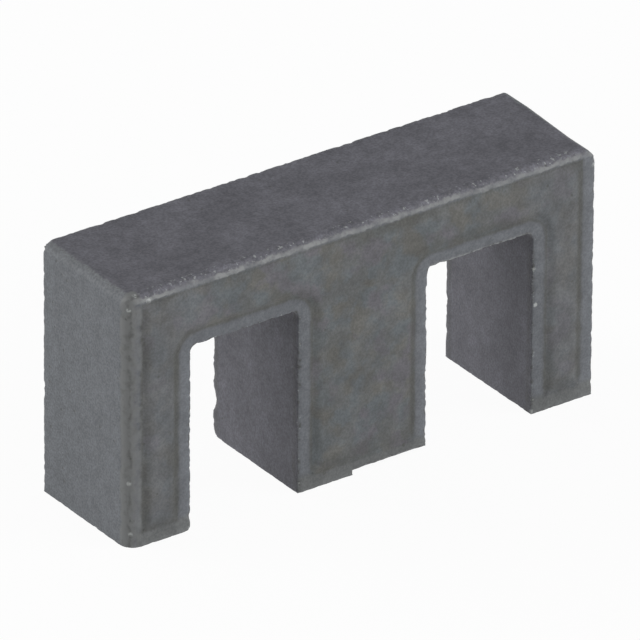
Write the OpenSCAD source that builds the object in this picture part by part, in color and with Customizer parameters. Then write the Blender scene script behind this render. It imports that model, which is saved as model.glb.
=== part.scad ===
// Ferrite E core: one pressed and sintered piece that stands on its three ground leg tips.
// X runs along the length, Y from the front E face (-Y) to the rear one (+Y), Z up through
// the back. The origin is the middle of the plane of the leg tips.

/* [Core] */
// Overall length, over the two outer legs
core_length = 20.2; // [18.5:0.05:24]
// Overall height, from the leg tips to the back
core_height = 10.05; // [9.5:0.05:14]
// Overall depth, over the two raised E faces
core_depth = 5.44; // [3:0.02:10]
// Clear distance between the two outer legs
leg_gap = 14.85; // [12:0.05:16]
// Width of the centre leg
centre_leg = 5.6; // [3:0.05:8]
// Height of the two winding windows, from the leg tips to the back
window_height = 7.4; // [4:0.05:8]
// Radius of the two outer corners of the back, from the die
corner_r = 0.3; // [0.1:0.05:1]
// Radius of the upper corners of each window, from the die
window_r = 0.3; // [0.1:0.05:1]

/* [Face border] */
// Width of the lowered border round each E face, on the legs, windows and tips
border_w = 0.6; // [0.2:0.05:0.9]
// Width of the same border along the back
back_border_w = 0.4; // [0.2:0.05:0.7]
// Height by which the middle of each E face stands above its border
face_step = 0.08; // [0.03:0.01:0.25]
// Corner radius of the raised middle at the ends of the back and at the leg tips
face_corner_r = 0.15; // [0.05:0.05:0.3]

/* [Wear and chips] */
// Rounding rubbed onto the front edge of the back
back_edge_r = 0.38; // [0.1:0.02:0.6]
// Rounding rubbed onto the front edge of the left outer leg
leg_edge_r = 0.58; // [0.1:0.02:0.8]
// Rounding of the left outer leg's inner corner at its tip
tip_corner_r = 0.2; // [0.1:0.05:0.5]
// Length of the flake broken off the front edge of the centre leg's tip
flake_length = 3.2; // [0.5:0.1:3.5]
// Height of that flake on the front face
flake_height = 0.19; // [0.05:0.01:0.5]
// Depth of that flake into the tip
flake_depth = 0.55; // [0.2:0.05:1.5]
// Radius of the shell-shaped nicks in the rear edge of the centre leg's left wall
nick_r = 1; // [0.4:0.05:2]
// Depth of the larger, lower nick
nick_depth = 0.15; // [0.05:0.01:0.3]
// Height of the lower nick above the leg tips
nick_z = 1.5; // [0.5:0.05:4]
// Distance from the lower nick up to the small one
nick_gap = 1.05; // [0.5:0.05:3]

/* [Hidden] */

$fn = 64;
// How far each cutting shape runs past the surface that it cuts
past = 1;
// The second nick is this share as deep as the first
small_nick = 0.45;
ferrite_grey = [0.38, 0.39, 0.42];

// Depth between the two borders, behind the raised middles
border_depth = core_depth - 2 * face_step;
front_y = -border_depth / 2;
end_x = core_length / 2;
gap_x = leg_gap / 2;
centre_x = centre_leg / 2;
window_x = (gap_x + centre_x) / 2;
window_half_w = (gap_x - centre_x) / 2;

// Left and right side of each leg, narrowed by a border on both sides
function leg_spans(border) = [
    [-end_x + border, -gap_x - border],
    [-centre_x + border, centre_x - border],
    [gap_x + border, end_x - border]
];

// Upright plate from x0 to x1 and z0 to z1, with its two upper corners rounded
module round_topped(x0, x1, z0, z1, r) {
    translate([x0, z0]) square([x1 - x0, z1 - z0 - r]);
    translate([x0 + r, z0]) square([x1 - x0 - 2 * r, z1 - z0]);
    for (x = [x0 + r, x1 - r]) translate([x, z1 - r]) circle(r);
}

// What is left over outside the round of a corner that lies at the origin
module corner_waste(r) {
    difference() {
        translate([-past, -past]) square(r + past);
        translate([r, r]) circle(r);
    }
}

// E-shaped outline of the die, drawn in by a border all round
module e_outline(border, back_border, r) {
    difference() {
        round_topped(-end_x + border, end_x - border, border, core_height - back_border, r);
        for (side = [-1, 1])
            translate([side * window_x, 0])
                round_topped(-window_half_w - border, window_half_w + border,
                             -past, window_height + border, window_r + border);
    }
}

// Raised middle of an E face: the outline inside the border, with round corners at the tips
module face_outline() {
    difference() {
        e_outline(border_w, back_border_w, face_corner_r);
        for (span = leg_spans(border_w)) {
            translate([span[0], border_w]) corner_waste(face_corner_r);
            translate([span[1], border_w]) mirror([1, 0]) corner_waste(face_corner_r);
        }
    }
}

// The piece as it leaves the die: the E through its depth, with a raised middle on both faces
module pressed_piece() {
    rotate([90, 0, 0]) {
        linear_extrude(border_depth, center = true) e_outline(0, 0, corner_r);
        linear_extrude(core_depth, center = true) face_outline();
    }
}

// Front edges of the back and of the left leg, and one tip corner, rubbed round
module rubbed_edges() {
    translate([-end_x - past, front_y, core_height])
        rotate([0, 90, 0])
            linear_extrude(core_length + 2 * past) corner_waste(back_edge_r);
    translate([-end_x, front_y, -past])
        linear_extrude(core_height + 2 * past) corner_waste(leg_edge_r);
    translate([-gap_x, -core_depth / 2 - past, 0])
        rotate([90, 0, 180])
            linear_extrude(core_depth + 2 * past) corner_waste(tip_corner_r);
}

// Long flat flake off the front edge of the centre leg's tip, out to its right wall
module broken_flake() {
    translate([centre_x - flake_length, front_y, 0])
        rotate([90, 0, 90])
            linear_extrude(flake_length + past)
                polygon([
                    [-past, -past],
                    [flake_depth * (1 + past / flake_height), -past],
                    [-past, flake_height * (1 + past / flake_depth)]
                ]);
}

// Shell-shaped nick in the upright rear edge of the centre leg's left wall
module edge_nick(z, depth) {
    out = (nick_r - depth) / sqrt(2);
    translate([-centre_x - out, -front_y + out, z]) sphere(nick_r);
}

module e_core() {
    color(ferrite_grey) difference() {
        pressed_piece();
        rubbed_edges();
        broken_flake();
        edge_nick(nick_z, nick_depth);
        edge_nick(nick_z + nick_gap, nick_depth * small_nick);
    }
}

e_core();
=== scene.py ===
import math

import bmesh
import bpy
from mathutils import Matrix, Vector, kdtree, noise


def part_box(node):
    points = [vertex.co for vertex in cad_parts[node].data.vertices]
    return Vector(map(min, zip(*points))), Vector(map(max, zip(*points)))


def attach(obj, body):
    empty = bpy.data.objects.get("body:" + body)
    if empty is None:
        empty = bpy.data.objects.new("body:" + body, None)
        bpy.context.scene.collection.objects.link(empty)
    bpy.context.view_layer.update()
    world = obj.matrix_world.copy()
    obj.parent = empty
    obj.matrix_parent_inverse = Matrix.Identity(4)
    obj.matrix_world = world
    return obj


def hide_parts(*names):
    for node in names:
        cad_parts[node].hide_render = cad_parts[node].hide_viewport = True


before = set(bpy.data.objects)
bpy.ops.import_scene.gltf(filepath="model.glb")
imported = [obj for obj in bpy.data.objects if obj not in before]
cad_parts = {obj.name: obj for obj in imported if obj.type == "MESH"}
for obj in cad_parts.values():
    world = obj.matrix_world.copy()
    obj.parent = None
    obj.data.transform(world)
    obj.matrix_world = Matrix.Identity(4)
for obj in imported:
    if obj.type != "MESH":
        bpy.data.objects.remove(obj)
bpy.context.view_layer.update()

# ---------------------------------------------------------------------------------------------
# The core. One E-shaped piece of soft ferrite: powder pressed between two punches in an E-shaped
# die, sintered until it is hard and brittle, and ground flat on its three leg tips. It is cut
# finely here, so that grains can break out along its sharp edges as they do on the real one.
# ---------------------------------------------------------------------------------------------

MM = 0.001

core_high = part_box("e_core")[1]
END_X = core_high.x                      # outer faces of the outer legs
BACK_Z = core_high.z                     # flat back, above the leg tips at zero
FACE_STEP = 0.08 * MM                    # height of the raised middle of each E face
LAND_Y = core_high.y - FACE_STEP         # border round that raised middle
GAP_X = 7.425 * MM                       # inner faces of the outer legs
CENTRE_X = 2.8 * MM                      # side faces of the centre leg
WINDOW_Z = 7.4 * MM                      # roof of the two windows

BORDER_W = 0.6 * MM                      # width of the border round the raised middle
BACK_BORDER_W = 0.4 * MM                 # and its width along the back
WINDOW_R = 0.3 * MM                      # upper corners of the windows

SLICE = 0.105 * MM                       # pitch of the slices across the whole piece
CLOSE_SLICES = (0.025 * MM, 0.065 * MM)  # extra slices on each side of a sharp edge
STEP_SLICES = (0.04 * MM, 0.09 * MM)     # extra slices inside the edge of the raised middle
SHARP_ANGLE = math.radians(35)
TOUCHING = 1e-4 * MM                     # points closer than this are one
HAIR = 1e-3 * MM                         # and slivers narrower than this are taken out


def slice_places(start, end, edges, steps):
    """Even places between two ends, with close ones beside each sharp edge and each low step."""
    close = [edge + side * gap for edge in edges for gap in CLOSE_SLICES for side in (-1, 1)]
    close += [step + side * gap for step in steps for gap in STEP_SLICES for side in (-1, 1)]
    close = [place for place in close if start < place < end]
    count = round((end - start) / SLICE)
    even = [start + (end - start) * number / count for number in range(1, count)]
    taken = close + edges + steps
    even = [place for place in even if all(abs(place - other) > SLICE / 3 for other in taken)]
    return even + close


def slice_across(mesh, axis, places):
    """Cuts every face along planes at right angles to one axis."""
    normal = Vector((0, 0, 0))
    normal[axis] = 1
    for place in places:
        everything = mesh.verts[:] + mesh.edges[:] + mesh.faces[:]
        bmesh.ops.bisect_plane(
            mesh, geom=everything, dist=TOUCHING, plane_co=normal * place, plane_no=normal
        )


core_mesh = bmesh.new()
core_mesh.from_mesh(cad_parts["e_core"].data)
bmesh.ops.remove_doubles(core_mesh, verts=core_mesh.verts, dist=TOUCHING)
bmesh.ops.dissolve_limit(
    core_mesh, angle_limit=math.radians(0.5), verts=core_mesh.verts, edges=core_mesh.edges
)
edge_x = [CENTRE_X, GAP_X, END_X]
step_x = [CENTRE_X - BORDER_W, GAP_X + BORDER_W, END_X - BORDER_W]
edges_across = [side * x for x in edge_x for side in (-1, 1)]
steps_across = [side * x for x in step_x for side in (-1, 1)]
slice_across(core_mesh, 0, slice_places(-END_X, END_X, edges_across, steps_across))
edges_up = [0, WINDOW_Z, BACK_Z]
steps_up = [BORDER_W, WINDOW_Z + BORDER_W, BACK_Z - BACK_BORDER_W]
slice_across(core_mesh, 2, slice_places(0, BACK_Z, edges_up, steps_up))
slice_across(core_mesh, 1, slice_places(-LAND_Y, LAND_Y, [-LAND_Y, LAND_Y], []))


def ring_distance(place):
    """Distance of a place on an E face from the edge of the raised middle, positive inside it."""
    across, height = abs(place.x), place.z
    side = abs(across - (GAP_X + CENTRE_X) / 2) - (GAP_X - CENTRE_X) / 2 + WINDOW_R
    above = height - WINDOW_Z + WINDOW_R
    window = math.hypot(max(side, 0), max(above, 0)) + min(max(side, above), 0) - WINDOW_R
    border = min(END_X - across, height, window) - BORDER_W
    return min(border, BACK_Z - height - BACK_BORDER_W)


# The two upper end corners are worn rounder than the die left them, the right one at its front.
DIE_R = 0.3 * MM
for side, front_wear, rear_wear in ((-1, 0.15 * MM, 0.15 * MM), (1, 0.25 * MM, 0)):
    for corner in core_mesh.verts:
        to_front = min(max(0.5 - corner.co.y / LAND_Y, 0), 1)
        worn_r = DIE_R + rear_wear + (front_wear - rear_wear) * to_front
        out_x = side * corner.co.x - END_X + worn_r
        out_z = corner.co.z - BACK_Z + worn_r
        reach = math.hypot(out_x, out_z)
        if out_x > 0 and out_z > 0 and reach > worn_r:
            corner.co.x -= side * out_x * (1 - worn_r / reach)
            corner.co.z -= out_z * (1 - worn_r / reach)

# The rear left corner of the centre leg's tip is knocked round.
KNOCK_R = 0.4 * MM
KNOCK_REACH = 0.6 * MM
for corner in core_mesh.verts:
    along = (corner.co.x + CENTRE_X) / KNOCK_REACH
    on_wall = abs(along) < 0.05
    if on_wall or 0 < along < 1:
        knock_r = KNOCK_R * (1 - max(along, 0))
        out_y = corner.co.y - LAND_Y + knock_r
        out_z = knock_r - corner.co.z
        reach = math.hypot(out_y, out_z)
        if out_y > 0 and out_z > 0 and reach > knock_r:
            corner.co.y -= out_y * (1 - knock_r / reach)
            corner.co.z += out_z * (1 - knock_r / reach)

# The raised middle comes up out of its border in a soft slope, not a sharp step.
SLOPE_W = 0.32 * MM
for corner in core_mesh.verts:
    inside = ring_distance(corner.co)
    if abs(corner.co.y) > LAND_Y + HAIR and inside < SLOPE_W:
        share = max(inside, 0) / SLOPE_W
        height = FACE_STEP * share * share * (3 - 2 * share)
        corner.co.y = math.copysign(LAND_Y + height, corner.co.y)
bmesh.ops.remove_doubles(core_mesh, verts=core_mesh.verts, dist=HAIR)
bmesh.ops.dissolve_degenerate(core_mesh, edges=core_mesh.edges, dist=HAIR)

# Grains have broken out along every sharp edge, one tooth beside the next.
CRUMBLE_REACH = 0.15 * MM                # how far from the edge the surface gives way
CRUMBLE_LEAST = 0.012 * MM
CRUMBLE_MOST = 0.055 * MM
TOOTH = 0.15 * MM                        # usual length of one broken-out tooth
WINDOW_SHARE = 1.6                       # the front and rear edges of the windows lose more
TIP_SHARE = 0.5                          # and the ground edges of the leg tips less
SLOPE_SHARE = 0.0                        # the slope round the raised middle keeps its grains
NEAR = 0.1 * MM                          # how near a line an edge lies to belong to it
FACE_FROM_Y = LAND_Y - 0.01 * MM         # what lies further out is on an E face


def is_slope_edge(edge):
    """True for the edges at the foot of the slope round the raised middle of an E face."""
    middle = (edge.verts[0].co + edge.verts[1].co) / 2
    return abs(middle.y) > FACE_FROM_Y and abs(ring_distance(middle)) < NEAR


def is_window_edge(edge):
    """True for the edges where a window opens in an E face."""
    middle = (edge.verts[0].co + edge.verts[1].co) / 2
    inside = abs(middle.x) < GAP_X + NEAR and middle.z < WINDOW_Z + NEAR
    return inside and abs(middle.y) > FACE_FROM_Y


def crumble_depth(place):
    """How deep the grains have broken out at one place along an edge."""
    teeth = noise.noise(place / TOOTH)
    chips = noise.noise(place / (2.5 * TOOTH) + Vector((2, 8, 5)))
    runs = noise.noise(place / (7 * TOOTH) + Vector((7, 3, 1)))
    share = min(max(0.0, 0.28 + 0.8 * teeth + 0.6 * chips + 0.4 * runs), 1.0)
    return CRUMBLE_LEAST + (CRUMBLE_MOST - CRUMBLE_LEAST) * share ** 1.5


core_mesh.normal_update()
edge_share = {}
for edge in core_mesh.edges:
    if edge.is_manifold and edge.calc_face_angle() > SHARP_ANGLE:
        share = WINDOW_SHARE if is_window_edge(edge) else 1.0
        share = TIP_SHARE if edge.verts[0].co.z + edge.verts[1].co.z < NEAR else share
        share = SLOPE_SHARE if is_slope_edge(edge) else share
        for corner in edge.verts:
            edge_share[corner] = max(share, edge_share.get(corner, 0))
edge_points = [(v.co.copy(), -v.normal.normalized(), share) for v, share in edge_share.items()]
edge_tree = kdtree.KDTree(len(edge_points))
for number, point in enumerate(edge_points):
    edge_tree.insert(point[0], number)
edge_tree.balance()

wear_layer = core_mesh.verts.layers.float.new("wear")
for corner in core_mesh.verts:
    place, number, gap = edge_tree.find(corner.co)
    if gap < CRUMBLE_REACH:
        place, inward, share = edge_points[number]
        depth = crumble_depth(place) * share * (1 - gap / CRUMBLE_REACH) ** 2
        corner[wear_layer] = depth / CRUMBLE_MOST
        corner.co += inward * depth

# The rubbed front edge of the left leg has a ragged line of torn-out grains along its middle.
RUB_R = 0.58 * MM
TEAR_ANGLE = math.radians(42)            # round the rubbed edge, from the end face to the front
TEAR_HALF_W = 0.09 * MM
TEAR_DEPTH = 0.03 * MM
TEAR_WANDER = 0.05 * MM                  # how far the line strays sideways
TEAR_WAVE = 0.5 * MM                     # and over what length
rub_axis = Vector((-END_X + RUB_R, -LAND_Y + RUB_R, 0))
tear_out = Vector((-math.cos(TEAR_ANGLE), -math.sin(TEAR_ANGLE), 0))
for corner in core_mesh.verts:
    place = Vector((rub_axis.x, rub_axis.y, corner.co.z)) + tear_out * RUB_R
    wander = TEAR_WANDER * noise.noise(Vector((0, 0, corner.co.z / TEAR_WAVE)))
    gap = (corner.co - place + Vector((wander, -wander, 0))).length
    if gap < TEAR_HALF_W:
        teeth = 0.5 + noise.noise(corner.co / TOOTH + Vector((5, 5, 5)))
        corner.co -= tear_out * TEAR_DEPTH * max(teeth, 0) * (1 - gap / TEAR_HALF_W)

bmesh.ops.recalc_face_normals(core_mesh, faces=core_mesh.faces)
for face in core_mesh.faces:
    face.smooth = True
core_data = bpy.data.meshes.new("core")
core_mesh.to_mesh(core_data)
core_mesh.free()
core = bpy.data.objects.new("core", core_data)
bpy.context.scene.collection.objects.link(core)
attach(core, "root")
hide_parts("e_core")

# ---------------------------------------------------------------------------------------------
# The finish. Sintered ferrite is a dull dark grey with a fine grain. The walls that slid in the
# die are violet grey, the pressed border is clean and blue grey, and the raised middle, which lay
# against its neighbours in the kiln, is mottled and has a dark line along its edge, partly dirt and
# partly painted shade. Highlights, light and shade are also painted into the colour in a few places,
# marked below.
# ---------------------------------------------------------------------------------------------

# Lengths in the finish are in millimetres
END_MM = END_X / MM
BACK_MM = BACK_Z / MM
LAND_MM = LAND_Y / MM
GAP_MM = GAP_X / MM
CENTRE_MM = CENTRE_X / MM
ROOF_MM = WINDOW_Z / MM
ROUND_MM = WINDOW_R / MM
BORDER_MM = BORDER_W / MM
BACK_BORDER_MM = BACK_BORDER_W / MM


def feed(tree, socket, value):
    """Links a socket to another node's output, or writes a plain value on it."""
    if isinstance(value, bpy.types.NodeSocket):
        tree.links.new(value, socket)
    else:
        socket.default_value = value


def calculate(tree, operation, *values):
    """One step of arithmetic between values or sockets."""
    node = tree.nodes.new("ShaderNodeMath")
    node.operation = operation
    for socket, value in zip(node.inputs, values):
        feed(tree, socket, value)
    return node.outputs[0]


def product(tree, *factors):
    """Two or more values or sockets multiplied together."""
    result = factors[0]
    for factor in factors[1:]:
        result = calculate(tree, "MULTIPLY", result, factor)
    return result


def rise(tree, value, low, high, start=0.0, end=1.0):
    """Goes smoothly from start to end while the value goes from low to high."""
    node = tree.nodes.new("ShaderNodeMapRange")
    node.interpolation_type = "SMOOTHSTEP"
    for socket, number in zip(node.inputs, (value, low, high, start, end)):
        feed(tree, socket, number)
    return node.outputs[0]


def band(tree, value, low, high, soft):
    """One while the value lies between low and high, and nothing well outside them."""
    above = rise(tree, value, low - soft, low + soft)
    below = rise(tree, value, high - soft, high + soft, 1.0, 0.0)
    return product(tree, above, below)


def cloud(tree, place, size, detail=2.0, seed=(0, 0, 0)):
    """Soft noise from 0 to 1 whose patches are about size millimetres across."""
    shift = tree.nodes.new("ShaderNodeVectorMath")
    shift.operation = "ADD"
    feed(tree, shift.inputs[0], place)
    shift.inputs[1].default_value = seed
    node = tree.nodes.new("ShaderNodeTexNoise")
    feed(tree, node.inputs["Vector"], shift.outputs[0])
    node.inputs["Scale"].default_value = 0.6 / size
    node.inputs["Detail"].default_value = detail
    return node.outputs["Fac"]


def spots(tree, place, spacing, radius, share):
    """Round spots: one at about every spacing, kept at that share of the places."""
    node = tree.nodes.new("ShaderNodeTexVoronoi")
    feed(tree, node.inputs["Vector"], place)
    node.inputs["Scale"].default_value = 1 / spacing
    pick = tree.nodes.new("ShaderNodeSeparateColor")
    feed(tree, pick.inputs[0], node.outputs["Color"])
    kept = calculate(tree, "LESS_THAN", pick.outputs[0], share)
    near = rise(tree, node.outputs["Distance"], 0.4 * radius / spacing, radius / spacing, 1.0, 0.0)
    return product(tree, near, kept)


def grit(tree, place, size, level, seed=(0, 0, 0)):
    """Ragged grains: one wherever a fine noise stands above a level."""
    return rise(tree, cloud(tree, place, size, 3.0, seed), level, level + 0.05)


def smear(tree, across, height, middle, reach, warp):
    """Ragged stain on an E face, given its middle and how far it reaches in X and Z."""
    across = calculate(tree, "DIVIDE", calculate(tree, "SUBTRACT", across, middle[0]), reach[0])
    height = calculate(tree, "DIVIDE", calculate(tree, "SUBTRACT", height, middle[1]), reach[1])
    squares = product(tree, across, across)
    squares = calculate(tree, "MULTIPLY_ADD", height, height, squares)
    gap = calculate(tree, "MULTIPLY_ADD", warp, 2.0, calculate(tree, "SQRT", squares))
    return rise(tree, gap, 0.6, 1.4, 1.0, 0.0)


def speck(tree, place, middle, radius):
    """One round speck at a given place."""
    node = tree.nodes.new("ShaderNodeVectorMath")
    node.operation = "DISTANCE"
    feed(tree, node.inputs[0], place)
    node.inputs[1].default_value = middle
    return rise(tree, node.outputs["Value"], 0.4 * radius, radius, 1.0, 0.0)


def tint(tree, share, under, over):
    """Lays one colour over another, as far as share says."""
    node = tree.nodes.new("ShaderNodeMix")
    node.data_type = "RGBA"
    sockets = [socket for socket in node.inputs if socket.enabled]
    for socket, value in zip(sockets, (share, under, over)):
        feed(tree, socket, value)
    return next(socket for socket in node.outputs if socket.enabled)


def shade(tree, colour, factor):
    """Makes a colour lighter or darker by a factor that may change over the surface."""
    node = tree.nodes.new("ShaderNodeVectorMath")
    node.operation = "SCALE"
    feed(tree, node.inputs[0], colour)
    feed(tree, node.inputs["Scale"], factor)
    return node.outputs[0]


def outline_group():
    """Distances in the plane of the E: from its outline, and from the raised middle's edge."""
    group = bpy.data.node_groups.new("E outline distances", "ShaderNodeTree")
    group.interface.new_socket("Place", in_out="INPUT", socket_type="NodeSocketVector")
    group.interface.new_socket("Rim", in_out="OUTPUT", socket_type="NodeSocketFloat")
    group.interface.new_socket("Ring", in_out="OUTPUT", socket_type="NodeSocketFloat")
    start = group.nodes.new("NodeGroupInput")
    end = group.nodes.new("NodeGroupOutput")
    split = group.nodes.new("ShaderNodeSeparateXYZ")
    group.links.new(start.outputs["Place"], split.inputs[0])
    across = calculate(group, "ABSOLUTE", split.outputs["X"])
    height = split.outputs["Z"]
    # Distance from one window, whose two upper corners are round
    from_axis = calculate(group, "SUBTRACT", across, (GAP_MM + CENTRE_MM) / 2)
    side = calculate(group, "ABSOLUTE", from_axis)
    side = calculate(group, "SUBTRACT", side, (GAP_MM - CENTRE_MM) / 2 - ROUND_MM)
    above = calculate(group, "SUBTRACT", height, ROOF_MM - ROUND_MM)
    side_out = calculate(group, "MAXIMUM", side, 0.0)
    above_out = calculate(group, "MAXIMUM", above, 0.0)
    squares = product(group, side_out, side_out)
    squares = calculate(group, "MULTIPLY_ADD", above_out, above_out, squares)
    corner = calculate(group, "SQRT", squares)
    inner = calculate(group, "MINIMUM", calculate(group, "MAXIMUM", side, above), 0.0)
    window = calculate(group, "SUBTRACT", calculate(group, "ADD", corner, inner), ROUND_MM)
    # Distances from the ends, the tips and the back
    from_end = calculate(group, "SUBTRACT", END_MM, across)
    from_back = calculate(group, "SUBTRACT", BACK_MM, height)
    low = calculate(group, "MINIMUM", from_end, height)
    rim = calculate(group, "MINIMUM", calculate(group, "MINIMUM", low, from_back), window)
    group.links.new(rim, end.inputs["Rim"])
    border = calculate(group, "SUBTRACT", calculate(group, "MINIMUM", low, window), BORDER_MM)
    back_border = calculate(group, "SUBTRACT", from_back, BACK_BORDER_MM)
    group.links.new(calculate(group, "MINIMUM", border, back_border), end.inputs["Ring"])
    return group


ferrite = bpy.data.materials.new("sintered ferrite")
ferrite.use_nodes = True
tree = ferrite.node_tree
shader = tree.nodes["Principled BSDF"]

coordinates = tree.nodes.new("ShaderNodeTexCoord")
to_millimetres = tree.nodes.new("ShaderNodeVectorMath")
to_millimetres.operation = "SCALE"
to_millimetres.inputs["Scale"].default_value = 1 / MM
tree.links.new(coordinates.outputs["Object"], to_millimetres.inputs[0])
place = to_millimetres.outputs[0]
split = tree.nodes.new("ShaderNodeSeparateXYZ")
tree.links.new(place, split.inputs[0])
x, y, z = split.outputs
facing = tree.nodes.new("ShaderNodeSeparateXYZ")
tree.links.new(coordinates.outputs["Normal"], facing.inputs[0])
facing_x = facing.outputs["X"]
out_x = calculate(tree, "ABSOLUTE", x)
out_y = calculate(tree, "ABSOLUTE", y)
outline = tree.nodes.new("ShaderNodeGroup")
outline.node_tree = outline_group()
tree.links.new(place, outline.inputs["Place"])
rim, ring = outline.outputs
worn = tree.nodes.new("ShaderNodeAttribute")
worn.attribute_name = "wear"
wear = worn.outputs["Fac"]

WALL_DARK = (0.114, 0.114, 0.132, 1)
WALL_LIGHT = (0.142, 0.142, 0.164, 1)
END_WALL = (0.124, 0.133, 0.145, 1)
BORDER = (0.121, 0.129, 0.142, 1)
MIDDLE = (0.114, 0.119, 0.120, 1)
BROWN = (0.115, 0.114, 0.106, 1)
TEAL = (0.111, 0.124, 0.132, 1)
VIOLET = (0.122, 0.119, 0.132, 1)
# dark colour of dirt, also used for painted shade along the slope round the raised middle
DIRT_AND_SHADE = (0.070, 0.071, 0.066, 1)
# greenish grey of the left leg's rubbed edge, painted lighter for light the lamps don't bring there
RUBBED_GREY_AND_LIGHT = (0.174, 0.180, 0.180, 1)
LAND = (0.121, 0.126, 0.125, 1)
OUTER = (0.122, 0.126, 0.135, 1)
# colour of the painted highlight on the rounded top corners of the ends
CORNER_HIGHLIGHT = (0.178, 0.188, 0.197, 1)
# colour of bare grains, also used for the painted highlight along the back's front edge
BARE_AND_HIGHLIGHT = (0.222, 0.230, 0.232, 1)
PALE = (0.45, 0.47, 0.46, 1)

# Die walls, with faint blotches. The two ends are bluer, with a painted highlight on their rounded
# top edges
blotch = rise(tree, cloud(tree, place, 1.2, 4.0), 0.35, 0.65)
colour = tint(tree, blotch, WALL_DARK, WALL_LIGHT)
ragged_end = calculate(tree, "MULTIPLY_ADD", cloud(tree, place, 0.2, 4.0), 0.25, out_x)
colour = tint(tree, rise(tree, ragged_end, END_MM - 0.20, END_MM - 0.08), colour, END_WALL)
# painted highlight along the rounded top edge of each end, near the back
top_edge_highlight = band(tree, ragged_end, END_MM - 0.17, END_MM - 0.04, 0.04)
near_back = rise(tree, z, BACK_MM - 0.20, BACK_MM - 0.07)
colour = tint(tree, product(tree, top_edge_highlight, near_back, 0.6), colour, CORNER_HIGHLIGHT)

# E faces: the clean border, and the mottled middle
on_face = rise(tree, out_y, LAND_MM - 0.07, LAND_MM - 0.02)
colour = tint(tree, on_face, colour, BORDER)
at_tips = product(tree, on_face, rise(tree, z, BORDER_MM - 0.1, BORDER_MM + 0.2, 0.85, 0.0))
colour = tint(tree, at_tips, colour, LAND)
mottle = tint(tree, rise(tree, cloud(tree, place, 0.5, 4.0), 0.44, 0.58), MIDDLE, TEAL)
mottle = tint(tree, rise(tree, cloud(tree, place, 0.7, 4.0, (9, 4, 2)), 0.48, 0.64), mottle, BROWN)
mottle = tint(tree, rise(tree, cloud(tree, place, 0.6, 4.0, (1, 7, 5)), 0.52, 0.66), mottle, VIOLET)
on_outer_leg = rise(tree, out_x, 5.5, 8.5, 0.0, 0.5)
mottle = tint(tree, on_outer_leg, mottle, OUTER)
uneven = rise(tree, cloud(tree, place, 1.0, 5.0, (3, 3, 8)), 0.3, 0.7, 0.86, 1.12)
mottle = shade(tree, mottle, uneven)
ragged = calculate(tree, "SUBTRACT", cloud(tree, place, 0.2, 4.0), 0.5)
ragged = calculate(tree, "MULTIPLY_ADD", ragged, 0.16, ring)
on_middle = product(tree, on_face, rise(tree, ragged, -0.12, 0.0))
colour = tint(tree, on_middle, colour, mottle)

# A dark line along the slope round the raised middle, partly dirt and partly painted shade. The
# paint is stronger where the slope faces right, into the brightest lamp, weaker where it faces left,
# and less near the tips and the back, with soft smudges of dirt beside it
# partly dirt, partly painted shade: the dark line along the slope
line = product(
    tree, rise(tree, ragged, -0.20, -0.05), rise(tree, ragged, 0.04, 0.28, 1.0, 0.0)
)
strength = rise(tree, cloud(tree, place, 0.5, 4.0, (2, 9, 4)), 0.3, 0.65, 0.38, 0.62)
# painted shade: darker where the slope faces right, towards the brightest lamp, lighter where it
# faces left
faces_right = rise(tree, facing_x, -0.02, 0.12, -0.85, 0.5)
faces_right = product(tree, faces_right, rise(tree, ring, -0.01, 0.05))
above_tips = rise(tree, z, BORDER_MM + 0.1, BORDER_MM + 0.4, 0.15, 1.0)
under_back = rise(tree, z, BACK_MM - 0.85, BACK_MM - 0.65, 1.0, 0.45)
strength = product(tree, strength, calculate(tree, "ADD", faces_right, 1.0))
strength = product(tree, strength, above_tips, under_back)
colour = tint(tree, product(tree, line, strength, on_face), colour, DIRT_AND_SHADE)
beside = product(tree, rise(tree, ring, 0.0, 0.6, 1.0, 0.0), on_middle)
smudge = rise(tree, cloud(tree, place, 1.3, 4.0, (6, 2, 6)), 0.42, 0.7, 0.1, 0.7)
colour = tint(tree, product(tree, beside, smudge), colour, DIRT_AND_SHADE)

# Single stains on the front face: middle, reach and strength
STAINS = {
    "centre leg foot": ((0.2, 1.0), (1.9, 0.30), 0.40),
    "centre leg, left side": ((-1.6, 3.6), (0.45, 2.6), 0.20),
    "centre leg, brownish": ((-1.1, 5.6), (0.45, 0.55), 0.30),
    "over the right window": ((4.6, 8.22), (2.0, 0.20), 0.42),
    "under the back": ((1.5, 9.52), (1.7, 0.12), 0.40),
    "right leg foot": ((8.75, 0.95), (0.6, 0.22), 0.35),
    "left leg": ((-8.2, 3.2), (0.3, 0.55), 0.30),
}
on_front = product(tree, on_face, rise(tree, y, -1.0, 1.0, 1.0, 0.0))
warp = calculate(tree, "SUBTRACT", cloud(tree, place, 0.5, 4.0, (3, 1, 4)), 0.5)
for middle, reach, depth in STAINS.values():
    stain = smear(tree, x, z, middle, reach, warp)
    colour = tint(tree, product(tree, stain, depth, on_front), colour, DIRT_AND_SHADE)

# Painted light: the border on the right side of each leg is lighter, most near its outer edge, as
# if tilted towards the lamps on the right
on_border = product(tree, on_face, rise(tree, on_middle, 0.0, 1.0, 1.0, 0.0))
# painted light, strongest at the outer edge of the border
right_border_light = product(tree, on_border, rise(tree, rim, 0.05, 0.5, 0.20, 0.09))
for right_side in (-GAP_MM, CENTRE_MM, END_MM):
    beside_it = band(tree, x, right_side - BORDER_MM, right_side + 0.1, 0.02)
    lighter = calculate(tree, "MULTIPLY_ADD", beside_it, right_border_light, 1.0)
    colour = shade(tree, colour, lighter)

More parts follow.
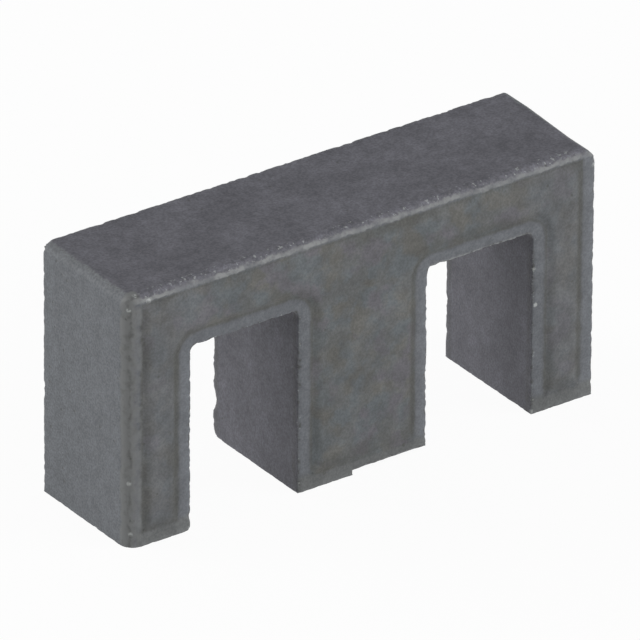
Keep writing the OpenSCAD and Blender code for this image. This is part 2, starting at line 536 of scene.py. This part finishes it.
# The land at the tips is rubbed lighter at its lower edge, and so is the right window's roof edge
low_edge = product(tree, on_face, rise(tree, z, 0.02, 0.25, 0.14, 0.0))
colour = shade(tree, colour, calculate(tree, "ADD", low_edge, 1.0))
at_roof = band(tree, z, ROOF_MM - 0.08, ROOF_MM + 0.08, 0.05)
in_window = band(tree, x, CENTRE_MM + 0.1, GAP_MM - 0.125, 0.2)
roof_edge = product(tree, at_roof, in_window, rise(tree, y, 0.14 - LAND_MM, 0.04 - LAND_MM))
crumbs = rise(tree, cloud(tree, place, 0.12, 4.0, (2, 2, 7)), 0.35, 0.65, 0.5, 1.2)
colour = tint(tree, product(tree, roof_edge, crumbs), colour, BARE_AND_HIGHLIGHT)

# A darker strip on the window walls, just behind their crumbled edges. The centre leg's walls get
# painted shade towards the front
from_face = calculate(tree, "SUBTRACT", LAND_MM, out_y)
behind = band(tree, from_face, 0.12, 0.32, 0.10)
upright_wall = rise(tree, calculate(tree, "ABSOLUTE", facing_x), 0.6, 0.9)
inside_ends = calculate(tree, "LESS_THAN", out_x, (GAP_MM + END_MM) / 2)
strip_strength = rise(tree, cloud(tree, place, 0.3, 4.0), 0.35, 0.6, 0.1, 0.5)
colour = tint(tree, product(tree, behind, upright_wall, inside_ends, strip_strength), colour, DIRT_AND_SHADE)
# painted shade on the centre leg's walls, stronger towards the front face
at_centre_leg = calculate(tree, "LESS_THAN", out_x, (CENTRE_MM + GAP_MM) / 2)
in_front = rise(tree, y, 0.14 - LAND_MM, 1.44 - LAND_MM, 0.10, 0.0)
painted_shade_in_front = product(tree, upright_wall, at_centre_leg, in_front)
colour = shade(tree, colour, calculate(tree, "SUBTRACT", 1.0, painted_shade_in_front))

# Grain all over, pits, and bare bright grains along the edges
fine = rise(tree, cloud(tree, place, 0.05, 3.0), 0.3, 0.7, -0.20, 0.20)
fine = product(tree, fine, rise(tree, on_face, 0.0, 1.0, 1.0, 0.65))
colour = shade(tree, colour, calculate(tree, "ADD", fine, 1.0))
coarse = rise(tree, cloud(tree, place, 0.25, 3.0, (7, 7, 7)), 0.3, 0.7, 0.90, 1.10)
colour = shade(tree, colour, coarse)
pits = spots(tree, place, 0.6, 0.08, 0.3)
colour = tint(tree, product(tree, pits, 0.6), colour, DIRT_AND_SHADE)
bare = rise(tree, wear, 0.15, 0.7, 0.0, 0.3)
colour = tint(tree, bare, colour, BARE_AND_HIGHLIGHT)
near_edge = rise(tree, wear, 0.05, 0.2)
torn_out = grit(tree, place, 0.12, 0.56, (9, 9, 1))
colour = tint(tree, product(tree, torn_out, near_edge, 0.7), colour, DIRT_AND_SHADE)
glint = grit(tree, place, 0.08, 0.63, (4, 4, 4))
colour = tint(tree, product(tree, glint, near_edge, 0.4), colour, PALE)

# The front edge of the back: a bright line, partly rubbed wear and partly a painted highlight on the
# rounded edge, with the round above it painted lighter towards the front, and torn-out grains
# glinting above the bright line
LINE_LOW = BACK_MM - 0.30
LINE_HIGH = BACK_MM - 0.15
front = rise(tree, y, 0.44 - LAND_MM, 0.34 - LAND_MM)
wander = calculate(tree, "SUBTRACT", cloud(tree, place, 0.35, 5.0, (8, 1, 1)), 0.5)
rub_z = calculate(tree, "MULTIPLY_ADD", wander, 0.22, z)
ragged_rub = calculate(tree, "SUBTRACT", cloud(tree, place, 0.12, 3.0, (8, 5, 2)), 0.5)
rub_z = calculate(tree, "MULTIPLY_ADD", ragged_rub, 0.16, rub_z)
patchy = rise(tree, cloud(tree, place, 0.4, 4.0, (8, 1, 1)), 0.35, 0.62, 0.25, 1.0)
fading_right = rise(tree, x, -8.0, 4.0, 1.0, 0.75)
uneven_rub = rise(tree, cloud(tree, place, 0.1, 3.0, (4, 8, 1)), 0.35, 0.6, 0.6, 1.15)
patchy = product(tree, patchy, fading_right, uneven_rub)
# painted highlight, partly rubbed wear: the bright line along the rounded front edge of the back
rub_and_highlight = product(tree, band(tree, rub_z, LINE_LOW, LINE_HIGH, 0.03), front, patchy)
colour = tint(tree, rub_and_highlight, colour, BARE_AND_HIGHLIGHT)
# painted light on the round above the bright line, more towards the front face
above_line = rise(tree, z, LINE_HIGH, LINE_HIGH + 0.07)
round_front = rise(tree, y, 0.12 - LAND_MM, 0.44 - LAND_MM, 0.30, 0.0)
lighter = calculate(tree, "MULTIPLY_ADD", above_line, round_front, 1.0)
colour = shade(tree, colour, lighter)
torn = product(tree, band(tree, rub_z, LINE_HIGH + 0.02, LINE_HIGH + 0.16, 0.03), front)
torn_out = grit(tree, place, 0.14, 0.52, (1, 6, 1))
colour = tint(tree, product(tree, torn_out, torn, 0.25), colour, DIRT_AND_SHADE)
glint = grit(tree, place, 0.09, 0.60, (2, 4, 4))
colour = tint(tree, product(tree, glint, torn, 0.6), colour, PALE)

# The rubbed front edge of the left leg: a greenish grey strip, painted lighter where the round turns
# away from the lamps, a torn dark line, a light strip
left = rise(tree, x, 0.65 - END_MM, 0.50 - END_MM)
ragged_tear = calculate(tree, "SUBTRACT", cloud(tree, place, 0.18, 4.0, (1, 2, 3)), 0.5)
tear_y = calculate(tree, "MULTIPLY_ADD", wander, 0.15, y)
tear_y = calculate(tree, "MULTIPLY_ADD", ragged_tear, 0.25, tear_y)
grey_strip = band(tree, tear_y, 0.04 - LAND_MM, 0.50 - LAND_MM, 0.08)
grey_strip = product(tree, grey_strip, left)
# painted light: the strip is lighter than its own grey, where the round faces away from the lamps
colour = tint(tree, grey_strip, colour, RUBBED_GREY_AND_LIGHT)
torn_out = rise(tree, cloud(tree, place, 0.14, 4.0, (6, 3, 1)), 0.5, 0.72, 0.0, 0.35)
colour = tint(tree, product(tree, torn_out, grey_strip), colour, DIRT_AND_SHADE)
light_strip = band(tree, tear_y, -0.02 - LAND_MM, 0.14 - LAND_MM, 0.03)
colour = tint(tree, product(tree, light_strip, left, patchy, 0.35), colour, BARE_AND_HIGHLIGHT)
tear = band(tree, tear_y, 0.14 - LAND_MM, 0.21 - LAND_MM, 0.04)
torn_dark = rise(tree, cloud(tree, place, 0.2, 4.0, (5, 5, 5)), 0.45, 0.68, 0.05, 0.6)
colour = tint(tree, product(tree, tear, left, torn_dark), colour, DIRT_AND_SHADE)

# Single bright crumbs and dark pits on the front edges
CRUMBS = (
    (7.47, -2.64, 5.90), (7.55, -2.64, 4.44), (7.44, -2.62, 0.12), (10.05, -2.62, 9.36),
    (-9.94, -2.45, 2.58), (-9.90, -2.49, 0.55), (-9.68, -2.41, 10.01), (-9.95, -2.44, 9.53),
    (-9.24, -2.62, 9.76), (-9.16, -2.62, 9.78),
)
PITS = (
    (-9.93, -2.47, 3.63), (-9.87, -2.52, 1.09), (-10.0, -2.39, 9.20), (-9.41, -2.66, 3.70),
    (-9.47, -2.66, 8.31), (-9.46, -2.66, 8.12), (-1.64, -2.65, 0.48), (1.81, -2.65, 0.53),
)
SPECK_R = 0.12
ragged_shape = rise(tree, cloud(tree, place, 0.07, 3.0, (5, 9, 9)), 0.38, 0.6, 0.1, 0.8)
for middles, speck_colour in ((PITS, DIRT_AND_SHADE), (CRUMBS, PALE)):
    for middle in middles:
        share = product(tree, speck(tree, place, middle, SPECK_R), ragged_shape)
        colour = tint(tree, share, colour, speck_colour)
tree.links.new(colour, shader.inputs["Base Color"])

roughness = rise(tree, on_middle, 0.0, 1.0, 0.55, 0.62)
roughness = calculate(tree, "MULTIPLY_ADD", rub_and_highlight, -0.1, roughness)
tree.links.new(roughness, shader.inputs["Roughness"])
shader.inputs["Specular IOR Level"].default_value = 0.4

grain = calculate(tree, "ADD", cloud(tree, place, 0.05, 3.0), cloud(tree, place, 0.16, 2.0))
grain = calculate(tree, "MULTIPLY_ADD", pits, -1.0, grain)
bump = tree.nodes.new("ShaderNodeBump")
bump.inputs["Strength"].default_value = 0.5
bump.inputs["Distance"].default_value = 0.02 * MM
tree.links.new(grain, bump.inputs["Height"])
tree.links.new(bump.outputs[0], shader.inputs["Normal"])
core_data.materials.append(ferrite)

# ---------------------------------------------------------------------------------------------
# The table, the light and the camera. The core stands on a white table, in the even light of a
# white tent, with the strongest soft box in front on the right, one nearly as strong behind it on
# the left, and three weak ones.
# ---------------------------------------------------------------------------------------------

bpy.context.scene.view_settings.view_transform = "Standard"

table_mesh = bmesh.new()
bmesh.ops.create_grid(table_mesh, x_segments=1, y_segments=1, size=2.0)
table_data = bpy.data.meshes.new("table")
table_mesh.to_mesh(table_data)
table_mesh.free()
table = bpy.data.objects.new("table", table_data)
bpy.context.scene.collection.objects.link(table)

# The table is white to the camera, and keeps a light part of the core's shadow
white = bpy.data.materials.new("white table")
white.use_nodes = True
tree = white.node_tree
shader = tree.nodes["Principled BSDF"]
shader.inputs["Base Color"].default_value = (0.9, 0.9, 0.9, 1)
shader.inputs["Roughness"].default_value = 0.9
TABLE_GLOW = 0.95
glow = tree.nodes.new("ShaderNodeEmission")
rays = tree.nodes.new("ShaderNodeLightPath")
seen = calculate(tree, "MAXIMUM", rays.outputs["Is Camera Ray"], rays.outputs["Is Glossy Ray"])
seen = calculate(tree, "MAXIMUM", seen, rays.outputs["Is Transmission Ray"])
mixed = tree.nodes.new("ShaderNodeMixShader")
tree.links.new(product(tree, seen, TABLE_GLOW), mixed.inputs[0])
tree.links.new(shader.outputs[0], mixed.inputs[1])
tree.links.new(glow.outputs[0], mixed.inputs[2])
tree.links.new(mixed.outputs[0], tree.nodes["Material Output"].inputs["Surface"])
table_data.materials.append(white)

tent = bpy.data.worlds.new("tent")
bpy.context.scene.world = tent
tent.use_nodes = True
tree = tent.node_tree
background = tree.nodes["Background"]
background.inputs["Color"].default_value = (1, 1, 1, 1)
rays = tree.nodes.new("ShaderNodeLightPath")
seen = calculate(tree, "MAXIMUM", rays.outputs["Is Camera Ray"], rays.outputs["Is Transmission Ray"])
TENT_LIGHT = 0.3
tree.links.new(rise(tree, seen, 0.0, 1.0, TENT_LIGHT, 1.0), background.inputs["Strength"])


BOX_SIZE = 250 * MM
BOX_DISTANCE = 400 * MM
BOX_ELEVATION = math.radians(19)


def away_from_core(azimuth, elevation):
    """Direction that points away from the core. Azimuth 0 is in front and 90 on the right."""
    level = math.cos(elevation)
    return Vector((
        math.sin(azimuth) * level,
        -math.cos(azimuth) * level,
        math.sin(elevation),
    ))


def soft_box(name, azimuth, power):
    """A square lamp that faces the core from a low place on one side of it."""
    lamp = bpy.data.lights.new(name, "AREA")
    lamp.size = BOX_SIZE
    lamp.energy = power
    away = away_from_core(math.radians(azimuth), BOX_ELEVATION)
    lamp_object = bpy.data.objects.new(name, lamp)
    lamp_object.location = away * BOX_DISTANCE
    lamp_object.rotation_euler = away.to_track_quat("Z", "Y").to_euler()
    bpy.context.scene.collection.objects.link(lamp_object)


soft_box("front right soft box", 45, 0.95)
soft_box("front soft box", 0, 0.14)
soft_box("left soft box", -90, 0.11)
soft_box("rear left soft box", -135, 0.8)
soft_box("rear soft box", 180, 0.3)

# The camera looks down on the core from its left, through a very long lens.
CAMERA_AZIMUTH = math.radians(-35.405)
CAMERA_ELEVATION = math.radians(28.577)
CAMERA_ROLL = math.radians(0.372)
CAMERA_DISTANCE = 561.2 * MM
CAMERA_LENS = 887.8
AIM_RIGHT = 0.002 * MM
AIM_UP = -0.040 * MM

backward = away_from_core(CAMERA_AZIMUTH, CAMERA_ELEVATION)
level_right = Vector((0, 0, 1)).cross(backward).normalized()
level_up = backward.cross(level_right)
right = level_right * math.cos(CAMERA_ROLL) + level_up * math.sin(CAMERA_ROLL)
up = level_up * math.cos(CAMERA_ROLL) - level_right * math.sin(CAMERA_ROLL)
stand = Vector((0, 0, BACK_Z / 2)) + backward * CAMERA_DISTANCE + right * AIM_RIGHT + up * AIM_UP

lens = bpy.data.cameras.new("camera")
lens.sensor_width = 36
lens.lens = CAMERA_LENS
lens.clip_start = 0.01
lens.clip_end = 10
camera = bpy.data.objects.new("camera", lens)
turned = Matrix((right, up, backward)).transposed().to_4x4()
camera.matrix_world = Matrix.Translation(stand) @ turned
bpy.context.scene.collection.objects.link(camera)
bpy.context.scene.camera = camera
